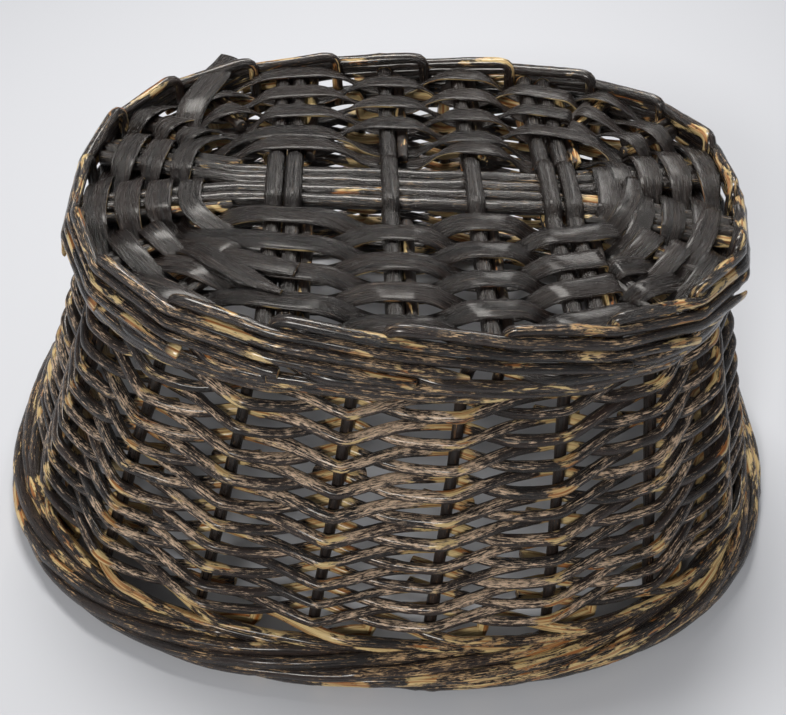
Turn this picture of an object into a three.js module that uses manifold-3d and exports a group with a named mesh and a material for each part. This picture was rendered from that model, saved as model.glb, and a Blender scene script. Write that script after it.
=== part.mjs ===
// Oval wicker basket standing on its rim, base upwards. Millimetres, +Z up, +X along the long axis.
// The origin is the middle of the rim's flat underside.
import * as THREE from 'three';
import Module from 'manifold-3d';
import { mergeVertices } from 'three/addons/utils/BufferGeometryUtils.js';

const wasm = await Module();
wasm.setup();

// Driving dimensions.
const HEIGHT = 182;
const RIM = { halfLength: 210, halfWidth: 175, power: 2.4, centreX: 0 };
const WALL_FOOT = { level: 146, halfLength: 157, halfWidth: 118, power: 2.5, centreX: 5 };
const WALL_RIM = { level: 8, halfLength: 205, halfWidth: 168, power: 2.4, centreX: 0 };
const WALL_TOP = { level: 168, halfLength: 163, halfWidth: 118.5, power: 2.5, centreX: 6 };
const FOOT = { halfLength: 165, halfWidth: 120, power: 2.5, centreX: 6 };
const GAP = 0.35;

const STAKES = 20;
const STAKE_RADIUS = 2.8;
const STAKE_LEAN = 0.2;
const STAKE_BEND_LEVEL = 157.6;
const STAKE_TAIL = 14;
const STAKE_END_LEVEL = 15.8;

const WEAVER = 6;
const WEAVE_LEVELS = [136, 124, 111.5, 99, 87, 75, 63.5, 52.5, 42, 32];
const FOOT_WALE = { level: 148.4, height: 12, proud: 2 };
const RIM_WALE = { level: 20, height: 10, proud: -0.5 };
const POCKET_SLACK = 1.2;
const WALE_POCKET_SLACK = 2.4;

const BASE_LEVEL = 168;
const BASE_EDGE_INSET = 12;
const LONG_ROD_RADIUS = 3.5;
const LONG_ROD_PITCH = 7.3;
const LONG_ROD_STRAIGHT = 84;
const LONG_ROD_SPREAD_END = 122;
const LONG_ROD_PAIR_SPREAD = 15.5;
const CROSS_STICK_RADIUS = 4.3;
const CROSS_STICK_X = [-64, -55, -9, 31, 67, 77];
const CROSS_STICK_SKEW = 0.055;
const EYE_HALF_HEIGHT = 6.6;

const CORNER_SPOKE_CLEARANCE = 3.5;
const NEAR_CORNER_FOCUS = 60;
const FAR_CORNER_FOCUS = 45;

const SPLINTS = 8;
const SPLINT_WIDTH = 6.4;
const SPLINT_THICKNESS = 1.2;
const FIRST_SPLINT = { halfLength: 95.6, halfWidth: 30, power: 4.8 };
const LAST_SPLINT = { halfLength: 146, halfWidth: 100.8, power: 2.65 };

// The splint, counted from 0, from which the corner stakes are woven in.
const CORNERS_FROM = 5;

const FOOT_POST_RADIUS = 3.2;
const FOOT_POST_INSET = 5;
const FOOT_POST_SHIFT = 0.25;
const FOOT_POST_LEVEL = 155;
const FOOT_POST_TOP = 173;
const RING_STATIONS = 40;
const MERGE_DISTANCE = 1e-4;

// Sections of the two borders: outward from the border's outline, and height above the floor.
const FOOT_BORDER_SECTION = [
  [-3, 170.8], [0, 174.5], [-2.5, HEIGHT],
  [-9.5, HEIGHT], [-11.5, 177.5], [-10, 172],
];
const RIM_BORDER_SECTION = [
  [-5, 0], [0, 7], [-1, 17], [-3.5, 22],
  [-5.5, 14.2], [-25, 14.2], [-23, 0],
];

// Finishes: stained willow, with more bare wood where the stain has worn through.
const FINISHES = {
  rod: { color: 0x4a3b30, roughness: 0.5 },
  stick: { color: 0x3a2f28, roughness: 0.42 },
  splint: { color: 0x403a36, roughness: 0.48 },
  stake: { color: 0x33281f, roughness: 0.6 },
  weaver: { color: 0x5a4636, roughness: 0.58 },
  border: { color: 0x4c3a2b, roughness: 0.52 },
};

const group = new THREE.Group();

function addPiece(name, geometry, finish) {
  const material = new THREE.MeshStandardMaterial({ ...FINISHES[finish], metalness: 0 });
  const mesh = new THREE.Mesh(geometry, material);
  mesh.name = name;
  group.add(mesh);
}

// ---- Oval outlines ----------------------------------------------------------------------------

function signedPower(value, power) {
  return Math.sign(value) * Math.abs(value) ** power;
}

function ovalPoint(oval, angle) {
  const x = oval.halfLength * signedPower(Math.cos(angle), 2 / oval.power);
  const y = oval.halfWidth * signedPower(Math.sin(angle), 2 / oval.power);
  return new THREE.Vector2(x + oval.centreX, y);
}

function ovalNormal(oval, point) {
  const x = (point.x - oval.centreX) / oval.halfLength;
  const y = point.y / oval.halfWidth;
  const along = signedPower(x, oval.power - 1) / oval.halfLength;
  const across = signedPower(y, oval.power - 1) / oval.halfWidth;
  return new THREE.Vector2(along, across).normalize();
}

// The oval's reading at a point: under 1 inside, 1 on the outline, over 1 outside.
function ovalReach(oval, point) {
  const x = Math.abs(point.x - oval.centreX) / oval.halfLength;
  const y = Math.abs(point.y) / oval.halfWidth;
  return (x ** oval.power + y ** oval.power) ** (1 / oval.power);
}

function offsetPoint(oval, angle, outward) {
  const point = ovalPoint(oval, angle);
  return point.addScaledVector(ovalNormal(oval, point), outward);
}

// The wall's outer surface at a level: it flares from a waist under the foot to the rim, and a
// little from the waist up to the base.
function wallAt(level) {
  const other = level > WALL_FOOT.level ? WALL_TOP : WALL_RIM;
  const share = (level - WALL_FOOT.level) / (other.level - WALL_FOOT.level);
  const part = THREE.MathUtils.clamp(share, 0, 1);
  const mix = (key) => THREE.MathUtils.lerp(WALL_FOOT[key], other[key], part);
  return {
    halfLength: mix('halfLength'),
    halfWidth: mix('halfWidth'),
    power: mix('power'),
    centreX: mix('centreX'),
  };
}

// Angles that share an oval's outline out evenly by length.
function evenAngle(oval) {
  const samples = 1440;
  const lengths = [0];
  for (let i = 1; i <= samples; i += 1) {
    const from = ovalPoint(oval, (2 * Math.PI * (i - 1)) / samples);
    const to = ovalPoint(oval, (2 * Math.PI * i) / samples);
    lengths.push(lengths[i - 1] + from.distanceTo(to));
  }
  return (share) => {
    const turns = Math.floor(share);
    const target = (share - turns) * lengths[samples];
    const next = lengths.findIndex((length) => length > target);
    const part = (target - lengths[next - 1]) / (lengths[next] - lengths[next - 1]);
    return 2 * Math.PI * (turns + (next - 1 + part) / samples);
  };
}

const MIDDLE_LEVEL = HEIGHT / 2;
const wallAngle = evenAngle(wallAt(MIDDLE_LEVEL));

// A stake's angle round the wall, leaning a little from foot to rim.
function stakeAngle(stake, level) {
  const lean = (STAKE_LEAN * (level - MIDDLE_LEVEL)) / (WALL_FOOT.level - WALL_RIM.level);
  return wallAngle((stake + 0.5 + lean) / STAKES);
}

// ---- Solids -----------------------------------------------------------------------------------

function toSolid(geometry) {
  const merged = mergeVertices(stripped(geometry), MERGE_DISTANCE);
  const mesh = new wasm.Mesh({
    numProp: 3,
    vertProperties: new Float32Array(merged.getAttribute('position').array),
    triVerts: new Uint32Array(merged.index.array),
  });
  return new wasm.Manifold(mesh);
}

function fromSolid(solid) {
  const mesh = solid.getMesh();
  const geometry = new THREE.BufferGeometry();
  geometry.setAttribute('position', new THREE.BufferAttribute(mesh.vertProperties, 3));
  geometry.setIndex(new THREE.BufferAttribute(mesh.triVerts, 1));
  geometry.computeVertexNormals();
  return geometry;
}

function stripped(geometry) {
  geometry.deleteAttribute('normal');
  geometry.deleteAttribute('uv');
  return geometry;
}

// A path straight from point to point, sampled exactly at its points.
class RodPath extends THREE.Curve {
  constructor(points) {
    super();
    this.points = points;
  }

  getPoint(t, target = new THREE.Vector3()) {
    const place = t * (this.points.length - 1);
    const first = Math.min(Math.floor(place), this.points.length - 2);
    return target.lerpVectors(this.points[first], this.points[first + 1], place - first);
  }

  getPointAt(t, target) {
    return this.getPoint(t, target);
  }

  getTangent(t, target = new THREE.Vector3()) {
    const reach = 0.5 / (this.points.length - 1);
    const before = this.getPoint(Math.max(0, t - reach));
    const after = this.getPoint(Math.min(1, t + reach));
    return target.subVectors(after, before).normalize();
  }

  getTangentAt(t, target) {
    return this.getTangent(t, target);
  }
}

function circleShape(radius, sides) {
  const corners = [];
  for (let i = 0; i < sides; i += 1) {
    const angle = (2 * Math.PI * i) / sides;
    corners.push(new THREE.Vector2(radius * Math.cos(angle), radius * Math.sin(angle)));
  }
  return new THREE.Shape(corners);
}

function rod(points, radius, sides) {
  return new THREE.ExtrudeGeometry(circleShape(radius, sides), {
    steps: points.length - 1,
    extrudePath: new RodPath(points),
    bevelEnabled: false,
  });
}

// A closed ring: a torus whose sections are moved to the stations, counterclockwise from above.
// Each station has a place, an outward direction and its section's corners.
function ring(stations) {
  const sides = stations[0].section.length;
  const geometry = stripped(new THREE.TorusGeometry(2, 1, sides, stations.length));
  const position = geometry.getAttribute('position');
  for (let side = 0; side <= sides; side += 1) {
    for (let i = 0; i <= stations.length; i += 1) {
      const station = stations[i % stations.length];
      const [outward, up] = station.section[side % sides];
      const point = station.place.clone().addScaledVector(station.outward, outward);
      position.setXYZ(side * (stations.length + 1) + i, point.x, point.y, up);
    }
  }
  const closed = mergeVertices(geometry, MERGE_DISTANCE);
  closed.computeVertexNormals();
  return closed;
}

function borderRing(outline, section) {
  const angleAt = evenAngle(outline);
  const stations = [];
  for (let i = 0; i < RING_STATIONS; i += 1) {
    const place = ovalPoint(outline, angleAt(i / RING_STATIONS));
    stations.push({ place, outward: ovalNormal(outline, place), section });
  }
  return ring(stations);
}

// ---- Side: stakes, and rows woven round them --------------------------------------------------

const STAKE_INSET = WEAVER + GAP + STAKE_RADIUS;

function stakePoint(stake, level, inward) {
  const wall = wallAt(level);
  const point = offsetPoint(wall, stakeAngle(stake, level), -STAKE_INSET - inward);
  return new THREE.Vector3(point.x, point.y, level);
}

// A stake's inner end lies just under the base, except at the corners, where it is woven into it.
function stakeStart(stake) {
  const corner = CORNER_SPOKES[stake];
  if (corner) return [raised(corner.inside), raised(corner.end)];
  return [stakePoint(stake, STAKE_BEND_LEVEL, STAKE_TAIL)];
}

function buildStakes() {
  const levels = [STAKE_BEND_LEVEL, 146, 120, 92, 64, 38, STAKE_END_LEVEL];
  for (let stake = 0; stake < STAKES; stake += 1) {
    const points = stakeStart(stake);
    levels.forEach((level) => points.push(stakePoint(stake, level, 0)));
    const number = String(stake + 1).padStart(2, '0');
    addPiece(`side_stake_${number}`, rod(points, STAKE_RADIUS, 6), 'stake');
  }
}

// One row of the side: two weavers that cross between stakes, with a pocket round each stake.
function wovenRow(level, height, proud) {
  const wall = wallAt(level);
  const crossing = WEAVER / 2 + GAP;
  const pocketHalfWidth = STAKE_RADIUS + (height > WEAVER ? WALE_POCKET_SLACK : POCKET_SLACK);
  const pocketReach = 0.4;
  const outer = [];
  const inner = [];
  const pockets = [];
  for (let stake = 0; stake < STAKES; stake += 1) {
    const here = stakeAngle(stake, level);
    const middle = stakeAngle(stake + 0.5, level);
    outer.push(offsetPoint(wall, here, proud));
    outer.push(offsetPoint(wall, middle, proud - STAKE_INSET + crossing));
    inner.push(offsetPoint(wall, here, -2 * STAKE_INSET));
    inner.push(offsetPoint(wall, middle, -STAKE_INSET - crossing));
    pockets.push(new THREE.Path([
      offsetPoint(wall, here, -STAKE_INSET + pocketHalfWidth),
      offsetPoint(wall, stakeAngle(stake + pocketReach, level), -STAKE_INSET),
      offsetPoint(wall, here, -STAKE_INSET - pocketHalfWidth),
      offsetPoint(wall, stakeAngle(stake - pocketReach, level), -STAKE_INSET),
    ]));
  }
  const plan = new THREE.Shape(outer);
  plan.holes = [new THREE.Path(inner), ...pockets];
  const geometry = new THREE.ExtrudeGeometry(plan, { depth: height, bevelEnabled: false });
  geometry.translate(0, 0, level - height / 2);
  return followWall(geometry, wall);
}

// Slants an upright prism so that it follows the wall's flare.
function followWall(geometry, wall) {
  const position = geometry.getAttribute('position');
  for (let i = 0; i < position.count; i += 1) {
    const there = wallAt(position.getZ(i));
    const x = ((position.getX(i) - wall.centreX) * there.halfLength) / wall.halfLength;
    const y = (position.getY(i) * there.halfWidth) / wall.halfWidth;
    position.setXY(i, there.centreX + x, y);
  }
  return geometry;
}

function buildWeave() {
  WEAVE_LEVELS.forEach((level, row) => {
    const number = String(row + 1).padStart(2, '0');
    addPiece(`side_weave_row_${number}`, wovenRow(level, WEAVER, 0), 'weaver');
  });
  addPiece('foot_wale', wovenRow(FOOT_WALE.level, FOOT_WALE.height, FOOT_WALE.proud), 'border');
  addPiece('rim_wale', wovenRow(RIM_WALE.level, RIM_WALE.height, RIM_WALE.proud), 'border');
}

// ---- Borders ----------------------------------------------------------------------------------

function buildBorders() {
  addPiece('rim_border', borderRing(RIM, RIM_BORDER_SECTION), 'border');
  let foot = toSolid(borderRing(FOOT, FOOT_BORDER_SECTION));
  const postHeight = FOOT_POST_TOP - FOOT_POST_LEVEL;
  for (let stake = 0; stake < STAKES; stake += 1) {
    const place = offsetPoint(FOOT, stakeAngle(stake + FOOT_POST_SHIFT, BASE_LEVEL), -FOOT_POST_INSET);
    const post = new THREE.CylinderGeometry(FOOT_POST_RADIUS, FOOT_POST_RADIUS, postHeight, 6);
    post.rotateX(Math.PI / 2);
    post.translate(place.x, place.y, FOOT_POST_LEVEL + postHeight / 2);
    foot = foot.add(toSolid(post));
  }
  addPiece('foot_border', fromSolid(foot), 'border');
}

// ---- Base: sticks -----------------------------------------------------------------------------

const BASE_EDGE = {
  halfLength: FOOT.halfLength - BASE_EDGE_INSET,
  halfWidth: FOOT.halfWidth - BASE_EDGE_INSET,
  power: FOOT.power,
  centreX: FOOT.centreX,
};

// The splints' ovals, even in size from the first to the last, and rounder outwards.
function splintOval(row) {
  const share = row / (SPLINTS - 1);
  const mix = (key) => THREE.MathUtils.lerp(FIRST_SPLINT[key], LAST_SPLINT[key], share);
  const squareness = (1 - share) ** 2;
  return {
    halfLength: mix('halfLength'),
    halfWidth: mix('halfWidth'),
    power: THREE.MathUtils.lerp(LAST_SPLINT.power, FIRST_SPLINT.power, squareness),
    centreX: FOOT.centreX,
  };
}

// Where a straight line from an inside point towards an outside one meets an oval.
function meetOval(oval, inside, outside) {
  let low = 0;
  let high = 1;
  for (let i = 0; i < 40; i += 1) {
    const middle = (low + high) / 2;
    const reach = ovalReach(oval, inside.clone().lerp(outside, middle));
    if (reach < 1) low = middle;
    else high = middle;
  }
  return inside.clone().lerp(outside, high);
}

// A spoke is the straight stretch of a stick that the splints pass over and under.
function crossStickSpoke(x, side) {
  const far = side * 2 * FOOT.halfWidth;
  const inside = new THREE.Vector2(FOOT.centreX + x, 0);
  const outside = new THREE.Vector2(FOOT.centreX + x - CROSS_STICK_SKEW * far, far);
  return { inside, end: meetOval(BASE_EDGE, inside, outside), radius: CROSS_STICK_RADIUS };
}

// Long rods run side by side, then part into two pairs towards each end.
function longRodSpoke(rodNumber, side) {
  const pair = rodNumber < 2 ? -1 : 1;
  const withinPair = (rodNumber % 2 - 0.5) * LONG_ROD_PITCH;
  const straightEnd = FOOT.centreX + side * LONG_ROD_STRAIGHT;
  const spreadEnd = FOOT.centreX + side * LONG_ROD_SPREAD_END;
  const inside = new THREE.Vector2(straightEnd, pair * LONG_ROD_PITCH + withinPair);
  const outside = new THREE.Vector2(spreadEnd, pair * LONG_ROD_PAIR_SPREAD + withinPair);
  const beyond = inside.clone().lerp(outside, 2);
  return { inside, end: meetOval(BASE_EDGE, inside, beyond), radius: LONG_ROD_RADIUS };
}

// The inner end of a corner stake: a spoke that starts just outside the first few splints.
function cornerSpoke(stake, focusX) {
  const place = stakePoint(stake, BASE_LEVEL, 0);
  const end = new THREE.Vector2(place.x, place.y);
  const clear = splintOval(CORNERS_FROM - 1);
  clear.halfLength += SPLINT_WIDTH / 2 + CORNER_SPOKE_CLEARANCE;
  clear.halfWidth += SPLINT_WIDTH / 2 + CORNER_SPOKE_CLEARANCE;
  const focus = new THREE.Vector2(FOOT.centreX + focusX, 0);
  return { inside: meetOval(clear, focus, end), end, radius: STAKE_RADIUS };
}

// The long rods at each end, counterclockwise, and the corner stakes by stake number.
const RIGHT_RODS = [0, 1, 2, 3].map((number) => longRodSpoke(number, 1));
const LEFT_RODS = [3, 2, 1, 0].map((number) => longRodSpoke(number, -1));
const CORNER_SPOKES = {};
const NEAR_CORNERS = { 1: 1, 8: -1, 11: -1, 18: 1 };
const FAR_CORNERS = { 2: 1, 7: -1, 12: -1, 17: 1 };
Object.entries(NEAR_CORNERS).forEach(([stake, side]) => {
  CORNER_SPOKES[stake] = cornerSpoke(Number(stake), NEAR_CORNER_FOCUS * side);
});
Object.entries(FAR_CORNERS).forEach(([stake, side]) => {
  CORNER_SPOKES[stake] = cornerSpoke(Number(stake), FAR_CORNER_FOCUS * side);
});
const BACK_SPOKES = CROSS_STICK_X.map((x) => crossStickSpoke(x, 1));
const FRONT_SPOKES = CROSS_STICK_X.map((x) => crossStickSpoke(x, -1));

// The cross sticks are taken up by the splints as a pair, two single sticks and a pair.
function stickGroups(spokes) {
  return [[spokes[0], spokes[1]], [spokes[2]], [spokes[3]], [spokes[4], spokes[5]]];
}

// Groups of spokes that a splint passes over or under, counterclockwise from the front left. The
// first splint takes the four long rods together, and the others take them as two pairs.
function spokeGroups(row) {
  const back = stickGroups(BACK_SPOKES).map((pair) => [...pair].reverse()).reverse();
  const front = stickGroups(FRONT_SPOKES);
  const corners = (...stakes) => {
    return row < CORNERS_FROM ? [] : stakes.map((stake) => [CORNER_SPOKES[stake]]);
  };
  const rods = (spokes) => (row === 0 ? [spokes] : [spokes.slice(0, 2), spokes.slice(2)]);
  return [
    ...front, ...corners(17, 18), ...rods(RIGHT_RODS), ...corners(1, 2),
    ...back, ...corners(7, 8), ...rods(LEFT_RODS), ...corners(11, 12),
  ];
}

function raised(point) {
  return new THREE.Vector3(point.x, point.y, BASE_LEVEL);
}

function buildLongRods() {
  for (let number = 0; number < 4; number += 1) {
    const left = LEFT_RODS[3 - number];
    const right = RIGHT_RODS[number];
    const points = [left.end, left.inside, right.inside, right.end].map(raised);
    addPiece(`base_long_rod_${number + 1}`, rod(points, LONG_ROD_RADIUS, 8), 'rod');
  }
}

// The split middle of a cross stick, which the long rods are threaded through.
function stickEye() {
  const flat = 15.6;
  const tip = 21;
  const slot = 1.5 * LONG_ROD_PITCH + LONG_ROD_RADIUS + 2 * GAP;
  const slotHeight = LONG_ROD_RADIUS + GAP;
  const outline = new THREE.Shape([
    new THREE.Vector2(-tip, 0), new THREE.Vector2(-flat, -EYE_HALF_HEIGHT),
    new THREE.Vector2(flat, -EYE_HALF_HEIGHT), new THREE.Vector2(tip, 0),
    new THREE.Vector2(flat, EYE_HALF_HEIGHT), new THREE.Vector2(-flat, EYE_HALF_HEIGHT),
  ]);
  outline.holes = [new THREE.Path([
    new THREE.Vector2(-slot, -slotHeight), new THREE.Vector2(slot, -slotHeight),
    new THREE.Vector2(slot, slotHeight), new THREE.Vector2(-slot, slotHeight),
  ])];
  const armProud = 0.2;
  const width = 2 * (CROSS_STICK_RADIUS - armProud);
  const eye = new THREE.ExtrudeGeometry(outline, { depth: width, bevelEnabled: false });
  eye.translate(0, 0, -width / 2);
  eye.rotateX(Math.PI / 2);
  eye.rotateZ(Math.PI / 2);
  return eye;
}

function buildCrossSticks() {
  const armStart = 18.5;
  CROSS_STICK_X.forEach((x, index) => {
    const eye = stickEye();
    eye.rotateZ(Math.atan(CROSS_STICK_SKEW));
    eye.translate(FOOT.centreX + x, 0, BASE_LEVEL);
    let stick = toSolid(eye);
    [FRONT_SPOKES[index], BACK_SPOKES[index]].forEach((spoke) => {
      const away = spoke.end.clone().sub(spoke.inside).normalize();
      const start = spoke.inside.clone().addScaledVector(away, armStart);
      const arm = rod([raised(start), raised(spoke.end)], CROSS_STICK_RADIUS, 8);
      stick = stick.add(toSolid(arm));
    });
    addPiece(`base_cross_stick_${index + 1}`, fromSolid(stick), 'stick');
  });
}

// ---- Base: splints ----------------------------------------------------------------------------

function splintSection(height) {
  const low = BASE_LEVEL + height - SPLINT_THICKNESS / 2;
  const high = BASE_LEVEL + height + SPLINT_THICKNESS / 2;
  return [
    [SPLINT_WIDTH / 2, low], [SPLINT_WIDTH / 2, high],
    [-SPLINT_WIDTH / 2, high], [-SPLINT_WIDTH / 2, low],
  ];
}

function spokePlace(oval, spoke) {
  return meetOval(oval, spoke.inside, spoke.inside.clone().lerp(spoke.end, 1.3));
}

// The place on an oval midway between two places on it.
function placeBetween(oval, from, to) {
  const centre = new THREE.Vector2(oval.centreX, 0);
  const middle = from.clone().lerp(to, 0.5);
  const reach = ovalReach(oval, middle);
  return middle.sub(centre).divideScalar(reach).add(centre);
}

// How high a sloping splint has to stand over a spoke to clear it across its whole width.
function spokeLift(oval, spoke, place, middle) {
  const along = spoke.end.clone().sub(spoke.inside).normalize();
  const normal = ovalNormal(oval, place);
  const shoulder = (SPLINT_WIDTH / 2) * Math.abs(along.cross(normal) / along.dot(normal));
  const bare = spoke.radius + SPLINT_THICKNESS / 2 + 3 * GAP;
  const innerEdge = (point) => {
    return point.clone().addScaledVector(ovalNormal(oval, point), -SPLINT_WIDTH / 2);
  };
  const run = Math.min(place.distanceTo(middle), innerEdge(place).distanceTo(innerEdge(middle)));
  let lift = bare;
  for (let i = 0; i < 12; i += 1) {
    lift = bare * Math.hypot(1, lift / run) + (lift / run) * shoulder;
  }
  return lift;
}

// A splint passes over one group of spokes and under the next. Its neighbours do the opposite.
function splintRing(row) {
  const oval = splintOval(row);
  const groups = spokeGroups(row).map((spokes) => {
    const ends = spokes.length === 1 ? spokes : [spokes[0], spokes[spokes.length - 1]];
    return { ends, places: ends.map((spoke) => spokePlace(oval, spoke)) };
  });
  const middles = groups.map((group, index) => {
    const next = groups[(index + 1) % groups.length];
    return placeBetween(oval, group.places[group.places.length - 1], next.places[0]);
  });
  const stations = [];
  const addStation = (place, height) => {
    stations.push({ place, outward: ovalNormal(oval, place), section: splintSection(height) });
  };
  groups.forEach(({ ends, places }, index) => {
    const before = middles[(index + middles.length - 1) % middles.length];
    const after = middles[index];
    const last = ends.length - 1;
    const lift = Math.max(
      spokeLift(oval, ends[0], places[0], before),
      spokeLift(oval, ends[last], places[last], after),
    );
    const side = (index + row) % 2 === 0 ? 1 : -1;
    places.forEach((place) => addStation(place, side * lift));
    addStation(after, 0);
  });
  return ring(stations);
}

function buildSplints() {
  for (let row = 0; row < SPLINTS; row += 1) {
    addPiece(`base_splint_${row + 1}`, splintRing(row), 'splint');
  }
}

buildLongRods();
buildCrossSticks();
buildSplints();
buildStakes();
buildWeave();
buildBorders();

export default group;
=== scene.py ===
# An oval wicker basket standing on its rim. Every rod and splint is a mesh of its own, woven round the
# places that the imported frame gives. Lengths are in millimetres until a piece is built.
import math

import bpy
import numpy as np
from mathutils import Matrix, Vector


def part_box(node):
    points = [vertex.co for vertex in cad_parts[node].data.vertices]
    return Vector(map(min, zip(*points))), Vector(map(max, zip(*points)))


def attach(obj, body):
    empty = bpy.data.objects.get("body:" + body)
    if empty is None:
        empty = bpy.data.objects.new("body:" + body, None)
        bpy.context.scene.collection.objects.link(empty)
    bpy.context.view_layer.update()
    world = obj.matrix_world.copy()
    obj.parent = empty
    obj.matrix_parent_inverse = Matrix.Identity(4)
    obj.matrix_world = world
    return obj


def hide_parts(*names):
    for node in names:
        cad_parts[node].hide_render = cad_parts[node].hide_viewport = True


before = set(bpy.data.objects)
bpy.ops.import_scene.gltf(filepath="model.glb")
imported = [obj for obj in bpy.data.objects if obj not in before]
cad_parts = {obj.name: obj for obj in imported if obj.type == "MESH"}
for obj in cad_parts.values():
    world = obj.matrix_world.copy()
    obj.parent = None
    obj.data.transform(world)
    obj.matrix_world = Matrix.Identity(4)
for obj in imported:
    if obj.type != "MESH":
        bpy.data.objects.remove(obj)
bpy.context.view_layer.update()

MM = 0.001
TURN = 2 * math.pi
SEED = 20

# ---- Driving dimensions -----------------------------------------------------------------------


def node_box(node):
    low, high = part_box(node)
    return np.array(low) / MM, np.array(high) / MM


def middle_level(node):
    low, high = node_box(node)
    return (low[2] + high[2]) / 2


STAKES = 20
ROWS = 10
STAKE_RADIUS = 2.8
STAKE_LEAN = 0.2
STAKE_INSET = 9.15
WALL_LEVELS = [8, 146, 168]
WALL_HALF_LENGTHS = [205, 157, 163]
WALL_HALF_WIDTHS = [168, 118, 118.5]
WALL_POWERS = [2.4, 2.5, 2.5]
WALL_CENTRES = [0, 5, 6]

HEIGHT = node_box("foot_border")[1][2]
MIDDLE_LEVEL = HEIGHT / 2
ROW_NODES = [f"side_weave_row_{row + 1:02d}" for row in range(ROWS)]
ROW_LEVELS = [middle_level(node) for node in ROW_NODES]
FOOT_WALE_LEVEL = middle_level("foot_wale")
RIM_WALE_LEVEL = middle_level("rim_wale")
BASE_LEVEL = middle_level("base_long_rod_1")

LONG_ROD_RADIUS = 3.5
LONG_ROD_PITCH = 7.3
LONG_ROD_STRAIGHT = 84
LONG_ROD_SPREAD_END = 122
LONG_ROD_PAIR_SPREAD = 15.5
CROSS_STICK_RADIUS = 4.3
CROSS_STICK_X = [-64, -55, -9, 31, 67, 77]
CROSS_STICK_SKEW = 0.055
BASE_EDGE_INSET = 12

SPLINTS = 8
SPLINT_THICKNESS = 1.2
FIRST_SPLINT = {"half_length": 95.6, "half_width": 30, "power": 4.8}
LAST_SPLINT = {"half_length": 146, "half_width": 100.8, "power": 2.65}

# The splint, counted from 0, from which the corner stakes are woven in.
CORNERS_FROM = 3

ROD_STEP = 2.2

# ---- Ovals and the wall -----------------------------------------------------------------------


def signed_power(value, power):
    return np.sign(value) * np.abs(value) ** power


class Oval:
    """A superellipse in plan. Its sizes may be arrays, one for each angle asked for."""

    def __init__(self, half_length, half_width, power, centre_x):
        self.half_length = half_length
        self.half_width = half_width
        self.power = power
        self.centre_x = centre_x

    def point(self, angle, outward=0.0):
        x = signed_power(np.cos(angle), 2 / self.power)
        y = signed_power(np.sin(angle), 2 / self.power)
        normal_x = signed_power(x, self.power - 1) / self.half_length
        normal_y = signed_power(y, self.power - 1) / self.half_width
        reach = outward / np.hypot(normal_x, normal_y)
        plan_x = self.centre_x + self.half_length * x + reach * normal_x
        plan_y = self.half_width * y + reach * normal_y
        return np.stack([plan_x, plan_y], axis=-1)

    def reach(self, point):
        """Under 1 inside the oval, 1 on its outline and over 1 outside."""
        x = abs(point[0] - self.centre_x) / self.half_length
        y = abs(point[1]) / self.half_width
        return (x**self.power + y**self.power) ** (1 / self.power)

    def angle_of(self, point):
        x = (point[0] - self.centre_x) / self.half_length
        y = point[1] / self.half_width
        half = self.power / 2
        return math.atan2(signed_power(y, half), signed_power(x, half)) % TURN

    def meet(self, inside, outside):
        """Where a straight line from an inside point towards an outside one meets the outline."""
        low, high = 0.0, 1.0
        for _ in range(40):
            middle = (low + high) / 2
            if self.reach(inside + (outside - inside) * middle) < 1:
                low = middle
            else:
                high = middle
        return inside + (outside - inside) * high


class Measured:
    """An oval with its length measured out, so that places round it can be given in millimetres."""

    def __init__(self, oval):
        self.oval = oval
        self.angles = np.linspace(0, TURN, 2881)
        steps = np.diff(oval.point(self.angles), axis=0)
        self.lengths = np.concatenate([[0], np.cumsum(np.hypot(steps[:, 0], steps[:, 1]))])
        self.total = self.lengths[-1]

    def angle(self, length):
        turns = np.floor(length / self.total)
        return TURN * turns + np.interp(length - turns * self.total, self.lengths, self.angles)

    def length(self, angle):
        return float(np.interp(angle % TURN, self.angles, self.lengths))


def framed_oval(node, power):
    low, high = node_box(node)
    size = (high - low) / 2
    return Oval(size[0], size[1], power, (high[0] + low[0]) / 2)


def splint_oval(row):
    """The splints step out evenly from the first to the last, and get rounder outwards."""
    share = row / (SPLINTS - 1)
    half_length = FIRST_SPLINT["half_length"] * (1 - share) + LAST_SPLINT["half_length"] * share
    half_width = FIRST_SPLINT["half_width"] * (1 - share) + LAST_SPLINT["half_width"] * share
    squareness = (1 - share) ** 2
    power = LAST_SPLINT["power"] * (1 - squareness) + FIRST_SPLINT["power"] * squareness
    return Oval(half_length, half_width, power, FOOT.centre_x)


def wall(level):
    return Oval(
        np.interp(level, WALL_LEVELS, WALL_HALF_LENGTHS),
        np.interp(level, WALL_LEVELS, WALL_HALF_WIDTHS),
        np.interp(level, WALL_LEVELS, WALL_POWERS),
        np.interp(level, WALL_LEVELS, WALL_CENTRES),
    )


RIM = framed_oval("rim_border", 2.4)
FOOT = framed_oval("foot_border", 2.5)
MIDDLE_WALL = Measured(wall(MIDDLE_LEVEL))


def stake_angle(stake, level):
    """The angle of a stake round the wall; half numbers lie between two stakes."""
    lean = STAKE_LEAN * (level - MIDDLE_LEVEL) / (WALL_LEVELS[1] - WALL_LEVELS[0])
    return MIDDLE_WALL.angle((stake + 0.5 + lean) / STAKES * MIDDLE_WALL.total)


def wall_point(stake, level, outward):
    """Points at stake numbers and levels, outward from the wall's outer surface."""
    stake, level, outward = np.broadcast_arrays(np.atleast_1d(stake), level, outward)
    level = level.astype(float)
    plan = wall(level).point(stake_angle(stake, level), outward)
    return np.column_stack([plan, level])


def oval_point(oval, stake, level, outward):
    """Points at stake numbers round a border's outline."""
    stake, level, outward = np.broadcast_arrays(np.atleast_1d(stake), level, outward)
    plan = oval.point(stake_angle(stake, level), outward)
    return np.column_stack([plan, level])


# ---- Paths and seeded irregularity ------------------------------------------------------------


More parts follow.
